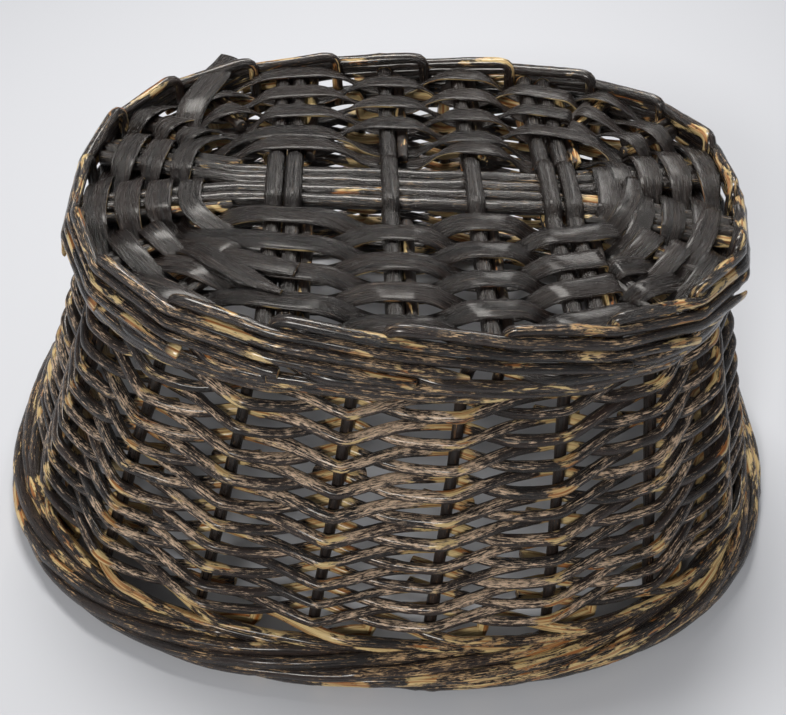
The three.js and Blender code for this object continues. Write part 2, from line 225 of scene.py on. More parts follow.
def unit(vectors):
    length = np.linalg.norm(vectors, axis=-1, keepdims=True)
    return vectors / np.maximum(length, 1e-9)


def drift(rng, count, spacing):
    """A smooth random line from -1 to 1 that turns about every `spacing` samples."""
    knots = rng.uniform(-1, 1, int(count / spacing) + 3)
    place = np.arange(count) / spacing
    whole = place.astype(int)
    part = place - whole
    ease = part * part * (3 - 2 * part)
    return knots[whole] * (1 - ease) + knots[whole + 1] * ease


def streaks(rng, count, sides, length=7):
    """Random ridges along a rod: a grid that changes slowly along it and quickly round it."""
    grid = rng.normal(size=(count + length, sides))
    total = np.cumsum(grid, axis=0)
    grid = (total[length:] - total[:-length]) / math.sqrt(length)
    return 0.8 * grid + 0.3 * np.roll(grid, 1, axis=1) + 0.3 * np.roll(grid, -1, axis=1)


def spaced(path, step, channel=None):
    """The path in even steps, and a channel of values carried along with it."""
    lengths = np.concatenate([[0], np.cumsum(np.linalg.norm(np.diff(path, axis=0), axis=1))])
    count = max(4, int(round(lengths[-1] / step)) + 1)
    place = np.linspace(0, lengths[-1], count)
    even = np.column_stack([np.interp(place, lengths, path[:, axis]) for axis in range(3)])
    if channel is None:
        return even, None
    return even, np.interp(place, lengths, np.broadcast_to(channel, len(path)))


def rounded(points, times=3):
    """A path with its corners cut."""
    path = np.array(points, float)
    for _ in range(times):
        before = 0.75 * path[:-1] + 0.25 * path[1:]
        after = 0.25 * path[:-1] + 0.75 * path[1:]
        inner = np.stack([before, after], axis=1).reshape(-1, path.shape[1])
        path = np.concatenate([path[:1], inner, path[-1:]])
    return path


def softened(values, reach):
    """Values along a path with their corners rounded over `reach` samples each way."""
    kernel = np.hanning(2 * reach + 3)[1:-1]
    padded = np.pad(values, reach, mode="edge")
    return np.convolve(padded, kernel / kernel.sum(), mode="valid")


def carried_frames(path):
    """Tangents and two cross directions, carried along a path without twist."""
    tangent = unit(np.gradient(path, axis=0))
    side = np.empty_like(path)
    start = np.cross(tangent[0], [0.0, 0.0, 1.0])
    if np.linalg.norm(start) < 0.3:
        start = np.cross(tangent[0], [1.0, 0.0, 0.0])
    side[0] = unit(start)
    for i in range(1, len(path)):
        carried = side[i - 1] - tangent[i] * np.dot(side[i - 1], tangent[i])
        side[i] = carried / np.linalg.norm(carried)
    return tangent, side, np.cross(tangent, side)


# ---- Pieces -----------------------------------------------------------------------------------


def chorded(values, run):
    """Values along a run, made straight between its whole numbers."""
    whole = np.unique(np.concatenate([[run[0]], np.arange(math.ceil(run[0]), run[-1]), [run[-1]]]))
    return np.interp(run, whole, np.interp(whole, run, values))


class Piece:
    """A visible piece under construction: closed tubes with any section, and their surface values."""

    # One channel holds painted light: how far a point faces up, outwards and to the front, where the
    # paler layer goes on thicker; worn splint edges add to it.
    CHANNELS = ("tone", "wear", "relief", "brush", "raw")

    def __init__(self, seed):
        self.rng = np.random.default_rng(SEED + seed)
        self.points = []
        self.grain = []
        self.channels = {name: [] for name in self.CHANNELS}
        self.quads = []
        self.tris = []
        self.count = 0

    def add_tube(self, grid, grain, **channels):
        """A closed tube from a grid of points: stations along it, and points round each station."""
        stations, sides, _ = grid.shape
        middles = grid[[0, -1]].mean(axis=1)
        index = self.count + np.arange(stations * sides).reshape(stations, sides)
        here, there = index[:-1], index[1:]
        quads = np.stack([here, np.roll(here, -1, 1), np.roll(there, -1, 1), there], axis=-1)
        first, last = index[0], index[-1]
        start, end = self.count + stations * sides, self.count + stations * sides + 1
        fan = np.stack([np.full(sides, start), np.roll(first, -1), first], axis=-1)
        far_fan = np.stack([np.full(sides, end), last, np.roll(last, -1)], axis=-1)
        self.points += [grid.reshape(-1, 3), middles]
        self.grain += [grain.reshape(-1, 3), grain[[0, -1]].mean(axis=1)]
        for name in self.CHANNELS:
            values = np.broadcast_to(channels.get(name, 0.0), (stations, sides))
            ends = values[[0, -1]].mean(axis=1)
            self.channels[name] += [values.ravel(), ends]
        self.quads.append(quads.reshape(-1, 4))
        self.tris += [fan, far_fan]
        self.count += stations * sides + 2

    def build(self, name, material, slot, *nodes):
        """The finished object, riding on the frame in place of its CAD nodes."""
        points = np.concatenate(self.points) * MM
        quads = np.concatenate(self.quads)
        tris = np.concatenate(self.tris)
        corners = np.concatenate([quads.ravel(), tris.ravel()])
        starts = np.concatenate([
            np.arange(len(quads)) * 4,
            len(quads) * 4 + np.arange(len(tris)) * 3,
        ])
        mesh = bpy.data.meshes.new(name)
        mesh.vertices.add(len(points))
        mesh.vertices.foreach_set("co", points.ravel())
        mesh.loops.add(len(corners))
        mesh.loops.foreach_set("vertex_index", corners)
        mesh.polygons.add(len(starts))
        mesh.polygons.foreach_set("loop_start", starts)
        mesh.polygons.foreach_set("use_smooth", np.ones(len(starts), bool))
        grain = mesh.attributes.new("grain", "FLOAT_VECTOR", "POINT")
        grain.data.foreach_set("vector", np.concatenate(self.grain).ravel())
        for channel, values in self.channels.items():
            attribute = mesh.attributes.new(channel, "FLOAT", "POINT")
            attribute.data.foreach_set("value", np.concatenate(values))
        mesh.update(calc_edges=True)
        mesh.validate()
        mesh.materials.append(material)
        piece = bpy.data.objects.new(name, mesh)
        bpy.context.scene.collection.objects.link(piece)
        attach(piece, "root")
        if nodes:
            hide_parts(*nodes)
        return piece


def painted_light_share(points, directions):
    """How far each surface point faces up or outwards, towards the lamps, as painted light for the paler
    layer.

    The front gets more of this painted light than the ends and the back."""
    outward = unit(points[..., :2])
    level = (directions[..., :2] * outward).sum(axis=-1)
    painted_light_up_and_out = np.clip(0.2 + 0.62 * directions[..., 2] + 0.34 * level, 0, 1)
    front = np.clip(-outward[..., 1], 0, 1) ** 2
    return painted_light_up_and_out * (0.62 + 0.38 * front)


KNOT_SPACING = 90
KNOT_LENGTH = 1.2
TEAR_LENGTH = 7.0


def with_end_rings(values):
    """Surface values of a rod, repeated for the closing ring at each end."""
    return np.pad(values, ((1, 1), (0, 0)), mode="edge")


def add_rod(
    piece, path, radius, wear=0.15, ends=("cut", "cut"),
    sides=14, taper=1.0, swell=0.05, bend=0.35,
):
    """A willow rod along a path: uneven in section, with ridges, knots and cut or torn ends.

    A "cut" or "torn" end shows bare wood, and a "stained" one doesn't."""
    rng = piece.rng
    path, wear = spaced(np.asarray(path, float), ROD_STEP, wear)
    count = len(path)
    tangent, side, other = carried_frames(path)
    path = path + bend * (side * drift(rng, count, 14)[:, None] + other * drift(rng, count, 11)[:, None])
    turn = np.linspace(0, TURN, sides, endpoint=False)
    width = 1 + swell * drift(rng, count, 8) + 0.4 * swell * drift(rng, count, 3)
    width = width * np.linspace(1, taper, count)
    lean = rng.uniform(0, TURN) + 1.5 * drift(rng, count, 20)
    relief = streaks(rng, count, sides)
    reach = width[:, None] * (1 + 0.05 * np.cos(2 * (turn - lean[:, None])) + 0.035 * relief)
    for knot in rng.uniform(0, count, int(count * ROD_STEP / KNOT_SPACING)):
        near = np.exp(-((np.arange(count) - knot) / KNOT_LENGTH) ** 2)
        reach += 0.16 * near[:, None] * (1 + np.cos(turn - rng.uniform(0, TURN))) / 2
    reach *= radius
    flat = np.ones((count, 2))
    raw = np.zeros((count, sides))
    for end, style in zip((0, -1), ends):
        from_end = np.arange(count) if end == 0 else np.arange(count)[::-1]
        if style == "torn":
            torn = np.exp(-((from_end * ROD_STEP) / TEAR_LENGTH) ** 2)
            flat[:, 0] *= 1 - 0.6 * torn
            flat[:, 1] *= 1 + 0.15 * torn
            raw += (0.75 * torn * (from_end < 5))[:, None]
            path = path + (side * (torn * rng.uniform(-1, 1))[:, None])
    across = reach * np.cos(turn) * flat[:, :1]
    along_other = reach * np.sin(turn) * flat[:, 1:]
    grid = path[:, None] + side[:, None] * across[..., None] + other[:, None] * along_other[..., None]
    # A narrow bevelled ring closes each end, and shows bare wood unless the end is stained.
    slant = rng.uniform(-0.35, 0.35, 2)
    first = path[0] + (grid[0] - path[0]) * 0.82 - tangent[0] * 0.35
    last = path[-1] + (grid[-1] - path[-1]) * 0.82 + tangent[-1] * 0.35
    first += tangent[0] * (across[0] * slant[0])[:, None]
    last += tangent[-1] * (across[-1] * slant[1])[:, None]
    grid[0] += tangent[0] * (across[0] * slant[0])[:, None]
    grid[-1] += tangent[-1] * (across[-1] * slant[1])[:, None]
    directions = unit(grid - path[:, None])
    # Painted light: the paler layer goes on thicker where the rod faces up, outwards and to the front.
    brush = painted_light_share(grid, directions)
    offset = rng.uniform(0, 400, 3)
    along = np.arange(count) * ROD_STEP
    grain = np.stack([
        np.broadcast_to(along[:, None], (count, sides)),
        radius * np.cos(turn) * np.ones((count, 1)),
        radius * np.sin(turn) * np.ones((count, 1)),
    ], axis=-1) + offset
    grid = np.concatenate([first[None], grid, last[None]])
    grain = np.concatenate([grain[:1] - [0.4, 0, 0], grain, grain[-1:] + [0.4, 0, 0]])
    raw = with_end_rings(raw)
    raw[[0, -1]] = [[float(style != "stained")] for style in ends]
    piece.add_tube(
        grid, grain,
        tone=rng.uniform(-1, 1),
        wear=with_end_rings(np.broadcast_to(wear[:, None], (count, sides))),
        relief=with_end_rings(relief),
        brush=with_end_rings(brush),
        raw=raw,
    )


SPLINT_PROFILE = np.array([-1, -0.93, -0.7, -0.4, -0.1, 0.25, 0.6, 0.93, 1])


def add_splint(piece, path, across, width, wear=0.1, thickness=SPLINT_THICKNESS, crown=0.5):
    """A flat band of split willow. `across` points from one edge to the other at each place."""
    rng = piece.rng
    count = len(path)
    tangent = unit(np.gradient(path, axis=0))
    normal = unit(np.cross(tangent, across))
    normal *= np.sign(normal[count // 2, 2] or 1)
    across = unit(np.cross(normal, tangent))
    half = np.broadcast_to(width, count) / 2
    half = half * (1 + 0.05 * drift(rng, count, 12) + 0.02 * drift(rng, count, 4))
    sides = 2 * len(SPLINT_PROFILE)
    place = np.concatenate([SPLINT_PROFILE, SPLINT_PROFILE[::-1]])
    top = np.concatenate([np.ones(len(SPLINT_PROFILE)), -np.ones(len(SPLINT_PROFILE))])
    edge = np.abs(place)
    thin = thickness / 2 * np.where(edge > 0.95, 0.45, 1.0)
    relief = streaks(rng, count, sides, 12)
    curl = crown * (1 + 0.5 * drift(rng, count, 25))
    height = top * thin + curl[:, None] * (0.5 - place**2) + 0.07 * relief * top
    height = height + 0.35 * drift(rng, count, 18)[:, None] * place
    grid = (
        path[:, None]
        + across[:, None] * (half[:, None] * place)[..., None]
        + normal[:, None] * height[..., None]
    )
    # The points run round the section against the clock when seen along the path.
    directions = normal[:, None] * top[None, :, None] * np.ones((count, sides, 1))
    lengths = np.concatenate([[0], np.cumsum(np.linalg.norm(np.diff(path, axis=0), axis=1))])
    grain = np.stack([
        np.broadcast_to(lengths[:, None], (count, sides)),
        half[:, None] * place,
        0.4 * top * np.ones((count, 1)),
    ], axis=-1) + rng.uniform(0, 400, 3)
    rubbed = np.clip(0.4 + 0.8 * drift(rng, count, 9), 0, 1)
    worn_edge = np.where(edge > 0.95, 1.0, 0.0) * rubbed[:, None]
    raw = np.zeros((count, sides))
    raw[[0, -1]] = 0.45
    flip = slice(None, None, -1)
    # Painted light: the paler layer goes on thicker where the splint faces up, outwards and to the front;
    # worn edges add real wear to it.
    piece.add_tube(
        grid[:, flip], grain[:, flip],
        tone=rng.uniform(-1, 1),
        wear=np.broadcast_to(np.broadcast_to(wear, count)[:, None], (count, sides))[:, flip],
        relief=relief[:, flip],
        brush=(painted_light_share(grid, directions) + worn_edge)[:, flip],
        raw=np.maximum(raw, 0.55 * worn_edge)[:, flip],
    )


# ---- Materials --------------------------------------------------------------------------------


def srgb(red, green, blue):
    """A colour as it looks on screen, 0 to 255, in the shader's own linear scale."""
    linear = [
        c / 12.92 if c <= 0.04045 else ((c + 0.055) / 1.055) ** 2.4
        for c in (red / 255, green / 255, blue / 255)
    ]
    return (*linear, 1.0)


class Nodes:
    """Short ways to add nodes to one material's tree."""

    def __init__(self, name):
        self.material = bpy.data.materials.new(name)
        self.material.use_nodes = True
        self.tree = self.material.node_tree
        self.shader = self.tree.nodes["Principled BSDF"]

    def add(self, kind, **settings):
        node = self.tree.nodes.new(kind)
        for key, value in settings.items():
            setattr(node, key, value)
        return node

    def link(self, source, target):
        if isinstance(source, (int, float)):
            target.default_value = source
        elif isinstance(source, tuple):
            target.default_value = source
        else:
            self.tree.links.new(source, target)

    def attribute(self, name, output="Fac"):
        return self.add("ShaderNodeAttribute", attribute_name=name).outputs[output]

    def noise(self, vector, stretch, detail=4.0, roughness=0.6, distortion=0.0):
        mapping = self.add("ShaderNodeMapping")
        mapping.inputs["Scale"].default_value = stretch
        self.link(vector, mapping.inputs["Vector"])
        noise = self.add("ShaderNodeTexNoise")
        noise.inputs["Scale"].default_value = 1.0
        noise.inputs["Detail"].default_value = detail
        noise.inputs["Roughness"].default_value = roughness
        noise.inputs["Distortion"].default_value = distortion
        self.link(mapping.outputs["Vector"], noise.inputs["Vector"])
        return noise.outputs["Fac"]

    def math(self, operation, a, b=0.0, c=0.0):
        node = self.add("ShaderNodeMath", operation=operation)
        for value, socket in zip((a, b, c), node.inputs):
            self.link(value, socket)
        return node.outputs[0]

    def ramp(self, value, low, high, to_low=0.0, to_high=1.0):
        node = self.add("ShaderNodeMapRange", interpolation_type="SMOOTHSTEP")
        for name, number in zip(("Value", "From Min", "From Max", "To Min", "To Max"),
                                (value, low, high, to_low, to_high)):
            self.link(number, node.inputs[name])
        return node.outputs["Result"]

    def mix(self, share, a, b):
        node = self.add("ShaderNodeMix", data_type="RGBA")
        self.link(share, node.inputs[0])
        self.link(a, node.inputs[6])
        self.link(b, node.inputs[7])
        return node.outputs[2]

    def bump(self, height, strength, distance, normal=None):
        node = self.add("ShaderNodeBump")
        node.inputs["Strength"].default_value = strength
        node.inputs["Distance"].default_value = distance
        self.link(height, node.inputs["Height"])
        if normal is not None:
            self.link(normal, node.inputs["Normal"])
        return node.outputs["Normal"]


def stained_wood(
    name, dark, mid, tan, brushed, worn, roughness,
    flecked=0.0, fibre_width=0.55, pits=0.4, gloss=0.12, crack_pace=0.3,
):
    """Willow under dark stain: fibres, a dry-brushed paler layer on the ridges, and bare patches. The
    paler
    layer also carries painted light: it goes on thicker where the surface faces up, outwards and to the
    front.

    `brushed` is how much of the paler layer shows, `worn` how much bare wood, `flecked` how many grey
    specks and `pits` how rough the bark is. `gloss` is the weight of the clear top layer, `fibre_width`
    the width of a fibre in millimetres, and `crack_pace` how quickly the cracks change along a rod."""
    n = Nodes(name)
    grain = n.attribute("grain", "Vector")
    tone = n.attribute("tone")
    wear = n.attribute("wear")
    relief = n.attribute("relief")
    brush_share_and_painted_light = n.attribute("brush")
    raw = n.attribute("raw")
    place = n.add("ShaderNodeNewGeometry").outputs["Position"]
    cross = 1 / fibre_width
    fibre = n.noise(grain, (0.06, cross, cross), 5, 0.65)
    bark = n.noise(grain, (crack_pace, 0.8 * cross, 0.8 * cross), 5, 0.7, 0.4)
    coarse = n.noise(grain, (0.02, 0.4 * cross, 0.4 * cross), 3, 0.55)
    patch = n.noise(grain, (0.045, 0.16, 0.16), 3, 0.6, 0.6)
    speck = n.noise(grain, (1.3, 2.0, 2.0), 2, 0.7)
    region = n.noise(place, (14, 14, 14), 2, 0.5)

    shade = n.math("MULTIPLY_ADD", tone, 0.07, n.math("ADD", coarse, n.math("MULTIPLY", fibre, 0.5)))
    stain = n.mix(n.ramp(shade, 0.55, 1.0), dark, mid)

    # Painted light: the paler layer goes on thicker where the surface faces up, outwards and to the
    # front; patches and regional noise vary it at random.
    coat_share_and_painted_light = n.math("POWER", brush_share_and_painted_light, 1.4)
    coat_share_and_painted_light = n.math("MULTIPLY", coat_share_and_painted_light, n.ramp(patch, 0.3, 0.7, 0.45, 1.25))
    coat_share_and_painted_light = n.math("MULTIPLY", coat_share_and_painted_light, n.ramp(region, 0.35, 0.65, 0.6, 1.2))
    ridge = n.math("MULTIPLY_ADD", fibre, 0.5, n.math("MULTIPLY", bark, 0.5))
    ridge = n.math("MULTIPLY_ADD", relief, 0.02, ridge)
    ridge = n.math("MULTIPLY_ADD", coat_share_and_painted_light, 0.3 * brushed, ridge)
    # The paler layer's mask: real fibres, bark and ridges, with painted light on the faces turned towards
    # the lamps.
    coat_and_painted_light = n.ramp(ridge, 0.6, 0.7)
    colour = n.mix(n.math("MULTIPLY", coat_and_painted_light, n.ramp(bark, 0.4, 0.58, 0.2, 1.0)), stain, tan)

    bare = n.math("MULTIPLY_ADD", wear, 0.55, n.math("MULTIPLY", patch, 0.75))
    bare = n.math("MULTIPLY_ADD", bark, 0.25, bare)
    limit = 1.0 - worn
    bare = n.math("MAXIMUM", n.ramp(bare, limit, limit + 0.06), n.ramp(raw, 0.35, 0.75))
    wood = n.mix(n.ramp(coarse, 0.38, 0.55), srgb(168, 102, 40), srgb(236, 208, 148))
    wood = n.mix(n.ramp(fibre, 0.5, 0.75, 0.0, 0.6), wood, srgb(96, 60, 28))
    colour = n.mix(bare, colour, wood)
    flecks = n.ramp(speck, 0.6, 0.72, 0.0, flecked)
    colour = n.mix(flecks, colour, srgb(150, 150, 156))
    n.link(colour, n.shader.inputs["Base Color"])

    rough = n.math("MULTIPLY_ADD", bark, 0.25, roughness - 0.12)
    rough = n.math("MULTIPLY_ADD", tone, 0.05, rough)
    rough = n.math("ADD", rough, n.ramp(fibre, 0.35, 0.65, -0.08, 0.14))
    rough = n.math("MULTIPLY_ADD", coat_and_painted_light, 0.18, rough)
    rough = n.math("MULTIPLY_ADD", bare, 0.15, rough)
    n.link(rough, n.shader.inputs["Roughness"])
    n.shader.inputs["Specular IOR Level"].default_value = 0.55
    n.shader.inputs["Coat Weight"].default_value = gloss
    n.shader.inputs["Coat Roughness"].default_value = 0.2
    normal = n.bump(n.math("ADD", fibre, bark), pits, 0.0011)
    normal = n.bump(speck, 0.5 * pits, 0.0003, normal)
    n.link(normal, n.shader.inputs["Normal"])
    return n.material


DARK = srgb(13, 9, 8)
MATERIALS = {
    "weaver": stained_wood(
        "weaver_willow", DARK, srgb(46, 29, 22), srgb(236, 206, 176),
        brushed=0.8, worn=0.31, roughness=0.34, flecked=0.04, pits=1.0, gloss=0.35,
    ),
    "rim": stained_wood(
        "rim_willow", DARK, srgb(46, 29, 21), srgb(216, 178, 132),
        brushed=0.58, worn=0.34, roughness=0.3, flecked=0.06, pits=0.9, gloss=0.4,
    ),
    "foot": stained_wood(
        "foot_willow", DARK, srgb(42, 27, 20), srgb(226, 190, 148),
        brushed=0.58, worn=0.31, roughness=0.24, flecked=0.08, pits=0.9, gloss=0.6,
    ),
    "stake": stained_wood(
        "stake_willow", srgb(16, 12, 11), srgb(38, 27, 22), srgb(140, 102, 62),
        brushed=0.25, worn=0.16, roughness=0.34, flecked=0.05, pits=0.6,
    ),
    "rod": stained_wood(
        "glossy_rod_willow", srgb(15, 11, 10), srgb(38, 29, 25), srgb(190, 158, 118),
        brushed=0.3, worn=0.2, roughness=0.16, flecked=0.12, pits=0.6, gloss=0.5, crack_pace=0.15,
    ),
    "stick": stained_wood(
        "base_stick_willow", srgb(15, 11, 10), srgb(34, 26, 22), srgb(128, 104, 80),
        brushed=0.12, worn=0.06, roughness=0.24, flecked=0.1, pits=0.6,
    ),
    "splint": stained_wood(
        "split_willow", srgb(14, 10, 9), srgb(38, 29, 25), srgb(124, 110, 100),
        brushed=0.1, worn=0.05, roughness=0.2, flecked=0.2, fibre_width=0.9, pits=1.0, gloss=0.2,
        crack_pace=0.06,
    ),
}

# ---- Side -------------------------------------------------------------------------------------

WEAVER_SWING = 5.9
HAND_CHANGE = 14
TUCKED_DEPTH = 22


def zigzag(stakes):
    """1 at even whole numbers and -1 at odd ones, nearly straight between them."""
    bend = 0.985
    return np.arcsin(bend * np.cos(math.pi * stakes)) / math.asin(bend)


def hand(stakes):
    """Which way the two weavers of a row cross: 1 on the right half of the basket and -1 on the left."""
    return np.where((stakes - HAND_CHANGE) % STAKES < STAKES / 2, 1, -1)


def row_pitch(row):
    above = ROW_LEVELS[row - 1] if row else FOOT_WALE_LEVEL - 1
    below = ROW_LEVELS[row + 1] if row + 1 < ROWS else RIM_WALE_LEVEL + 1
    return (above - below) / 2


def build_side_rows():
    """Two weavers to a row. Each is spliced from rods whose ends stick out on the inside."""
    for row, node in enumerate(ROW_NODES):
        pitch = row_pitch(row)
        radius = 0.232 * pitch
        lift = pitch / 2 - radius
        for strand in range(2):
            piece = Piece(10 * row + strand)
            rng = piece.rng
            first = 2 * int(rng.integers(0, 10)) + 1 - (strand + row) % 2
            second = first + 2 * int(rng.integers(2, 4))
            third = first + 2 * int(rng.integers(5, 8))
            joins = [first, second, third, first + STAKES]
            for begin, end in zip(joins, joins[1:]):
                stakes = np.linspace(begin - 0.22, end + 0.24, 60 * (end - begin))
                phase = stakes + strand + row
                swing = zigzag(phase)
                peak = 0.5 * np.sin(math.pi * phase) + 0.5 * zigzag(phase - 0.5)
                rise = hand(stakes) * peak * lift
                tucked = np.clip(begin - stakes, 0, 1) + np.clip(stakes - end, 0, 1)
                outward = swing * WEAVER_SWING - STAKE_INSET - TUCKED_DEPTH * tucked
                path = wall_point(stakes, ROW_LEVELS[row] + rise, outward)
                behind = np.clip(-swing, 0, 1)
                at_stake = np.clip(1.3 * np.abs(swing) - 0.8, 0, 1)
                hidden = 0.4 * behind + 0.5 * at_stake
                size = radius * rng.uniform(0.9, 1.08)
                add_rod(piece, path, size, 0.1 + hidden, taper=rng.uniform(0.86, 1.1), swell=0.07)
            piece.build(f"side_weaver_{row + 1:02d}_{'ab'[strand]}", MATERIALS["weaver"], "weaver", node)


def build_wale(name, node, slot, material, strands, radius, level, spread, proud, seed):
    """Rods woven together: each passes outside all the stakes but one, then behind that one."""
    for strand in range(strands):
        piece = Piece(seed + strand)
        stakes = np.linspace(strand * 6.3, strand * 6.3 + STAKES + 0.6, 1200)
        phase = ((stakes - strand) / strands) % 1
        inside = 0.5 + 0.5 * np.cos(TURN * np.clip((phase - 0.5) * strands / 1.7, -0.5, 0.5))
        swing = WEAVER_SWING * (1 - 2 * inside)
        drop = spread * (0.5 - ((phase + 0.5) % 1))
        path = wall_point(stakes, level + drop, swing + proud - STAKE_INSET)
        add_rod(piece, path, radius, 0.25 + 0.4 * inside)
        piece.build(f"{name}_{strand + 1}", MATERIALS[material], slot, node)


# ---- Borders ----------------------------------------------------------------------------------

FOOT_ROD_RADIUS = 2.9
FOOT_ROD_LANES = 4
FOOT_ROD_START = 0.25
FOOT_ROD_INNER = 11.9
FOOT_ROD_SPREAD = 9.6
FOOT_ROD_DROP = 21.5
FOOT_POST_LEVELS = [148.0, 158.0, 168.0, 177.0]
FOOT_POST_OUTWARD = [-10.5, -10.9, -11.4, -11.8]


def build_foot_border():
    """Each border rod rises beside a stake, then leans over the next four, ending lower and outside."""
    for stake in range(STAKES):
        piece = Piece(400 + stake)
        rng = piece.rng
        span = FOOT_ROD_LANES + 0.1 + rng.uniform(-0.45, 0.35)
        run = np.linspace(0.12, span, 34)
        slope = run / FOOT_ROD_LANES
        outward = FOOT_ROD_SPREAD * slope**0.75 - FOOT_ROD_INNER
        level = HEIGHT - FOOT_ROD_RADIUS - 0.4 - FOOT_ROD_DROP * slope + rng.uniform(-0.6, 0.4)
        lying = oval_point(FOOT, stake + FOOT_ROD_START + run, level, outward)
        # The rods are nearly straight between the stakes that they lean on.
        lying = np.column_stack([chorded(lying[:, axis], run) for axis in range(3)])
        post = oval_point(FOOT, stake + FOOT_ROD_START, FOOT_POST_LEVELS, FOOT_POST_OUTWARD)
        path = rounded(np.concatenate([post, lying]), 1)
        wear = np.concatenate([np.full(8, 0.3), 0.2 + 0.2 * drift(rng, len(path) - 8, 9)])
        end = "torn" if rng.uniform() < 0.7 else "cut"
        radius = FOOT_ROD_RADIUS * rng.uniform(0.88, 1.08)
        add_rod(piece, path, radius, wear, ("cut", end), taper=0.86)
        piece.build(f"foot_border_rod_{stake + 1:02d}", MATERIALS["foot"], "foot_weave", "foot_border")


RIM_ROD_RADIUS = 3.7
RIM_ROLL = {"inset": 12.6, "level": 10.7, "half_depth": 8.9, "half_height": 7.0}
RIM_ROLL_START = math.radians(138)
RIM_ROLL_TURN = math.radians(43)
RIM_CORE_RADIUS = 4.4


def build_rim_border():
    """Rods rolled together: each starts above the roll, inside, and runs under it, clockwise."""
    for stake in range(STAKES):
        piece = Piece(500 + stake)
        rng = piece.rng
        span = 6.6 + rng.uniform(-0.5, 0.5)
        run = np.linspace(-rng.uniform(0, 0.5), span, 240)
        around = RIM_ROLL_START - RIM_ROLL_TURN * run
        outward = RIM_ROLL["half_depth"] * np.cos(around) - RIM_ROLL["inset"]
        level = RIM_ROLL["level"] + RIM_ROLL["half_height"] * np.sin(around)
        path = oval_point(RIM, stake - run, level, outward)
        end = "torn" if rng.uniform() < 0.4 else "cut"
        wear = 0.2 + 0.2 * drift(rng, len(path), 40)
        radius = RIM_ROD_RADIUS * rng.uniform(0.92, 1.03)
        add_rod(piece, path, radius, wear, (end, "cut"), taper=0.92)
        piece.build(f"rim_border_rod_{stake + 1:02d}", MATERIALS["rim"], "rim_weave", "rim_border")
    core = Piece(530)
    stakes = np.linspace(0, STAKES + 0.4, 700)
    path = oval_point(RIM, stakes, RIM_ROLL["level"], -RIM_ROLL["inset"])
    add_rod(core, path, RIM_CORE_RADIUS, 0.3)
    core.build("rim_border_core", MATERIALS["rim"], "rim_weave", "rim_border")


# ---- Base -------------------------------------------------------------------------------------

BASE_EDGE = Oval(
    FOOT.half_length - BASE_EDGE_INSET, FOOT.half_width - BASE_EDGE_INSET,
    FOOT.power, FOOT.centre_x,
)
BYE_RADIUS = 2.9
BYE_START = 26
CORNER_CLEARANCE = 6.7


class Spoke:
    """A straight stretch of a stick that the splints pass over and under."""

    def __init__(self, inside, end, radius):
        self.inside = np.array(inside, float)
        self.end = np.array(end, float)
        self.radius = radius

    def beside(self, sideways, radius, start=0.0):
        """A thinner rod alongside, on the side that `sideways` says, from `start` along the spoke."""
        along = unit(self.end - self.inside)
        shift = np.array([-along[1], along[0]]) * sideways * (self.radius + radius)
        return Spoke(self.inside + shift + along * start, self.end + shift, radius)

    def meet(self, oval):
        return oval.meet(self.inside, self.inside + (self.end - self.inside) * 1.5)


def cross_stick_spoke(x, side):
    far = side * 2 * FOOT.half_width
    inside = np.array([FOOT.centre_x + x, 0.0])
    outside = np.array([FOOT.centre_x + x - CROSS_STICK_SKEW * far, far])
    return Spoke(inside, BASE_EDGE.meet(inside, outside), CROSS_STICK_RADIUS)


def long_rod_spoke(number, side):
    pair = -1 if number < 2 else 1
    within = (number % 2 - 0.5) * LONG_ROD_PITCH
    inside = np.array([FOOT.centre_x + side * LONG_ROD_STRAIGHT, pair * LONG_ROD_PITCH + within])
    outside = np.array([FOOT.centre_x + side * LONG_ROD_SPREAD_END, pair * LONG_ROD_PAIR_SPREAD + within])
    return Spoke(inside, BASE_EDGE.meet(inside, inside + 2 * (outside - inside)), LONG_ROD_RADIUS)


def corner_spoke(stake, focus_x):
    end = wall_point(stake, BASE_LEVEL, -STAKE_INSET)[0, :2]
    clear = splint_oval(CORNERS_FROM - 1)
    clear.half_length += CORNER_CLEARANCE
    clear.half_width += CORNER_CLEARANCE
    return Spoke(clear.meet(np.array([FOOT.centre_x + focus_x, 0.0]), end), end, STAKE_RADIUS)


BACK_STICKS = [cross_stick_spoke(x, 1) for x in CROSS_STICK_X]
FRONT_STICKS = [cross_stick_spoke(x, -1) for x in CROSS_STICK_X]
RIGHT_RODS = [long_rod_spoke(number, 1) for number in (0, 1, 2, 3)]
LEFT_RODS = [long_rod_spoke(number, -1) for number in (3, 2, 1, 0)]
CORNER_FOCUS = {1: 60, 8: -60, 11: -60, 18: 60, 2: 45, 7: -45, 12: -45, 17: 45}
CORNERS = {stake: corner_spoke(stake, focus) for stake, focus in CORNER_FOCUS.items()}

# Each other stake runs in beside a stick or a pair of rods, counterclockwise.
BYES = {
    0: RIGHT_RODS[3].beside(1, BYE_RADIUS), 19: RIGHT_RODS[0].beside(-1, BYE_RADIUS),
    9: LEFT_RODS[0].beside(-1, BYE_RADIUS), 10: LEFT_RODS[3].beside(1, BYE_RADIUS),
    3: BACK_STICKS[5].beside(-1, BYE_RADIUS, BYE_START),
    4: BACK_STICKS[3].beside(-1, BYE_RADIUS, BYE_START),
    5: BACK_STICKS[2].beside(-1, BYE_RADIUS, BYE_START),
    6: BACK_STICKS[1].beside(-1, BYE_RADIUS, BYE_START),
    13: FRONT_STICKS[1].beside(1, BYE_RADIUS, BYE_START),
    14: FRONT_STICKS[2].beside(1, BYE_RADIUS, BYE_START),
    15: FRONT_STICKS[3].beside(1, BYE_RADIUS, BYE_START),
    16: FRONT_STICKS[5].beside(1, BYE_RADIUS, BYE_START),
}


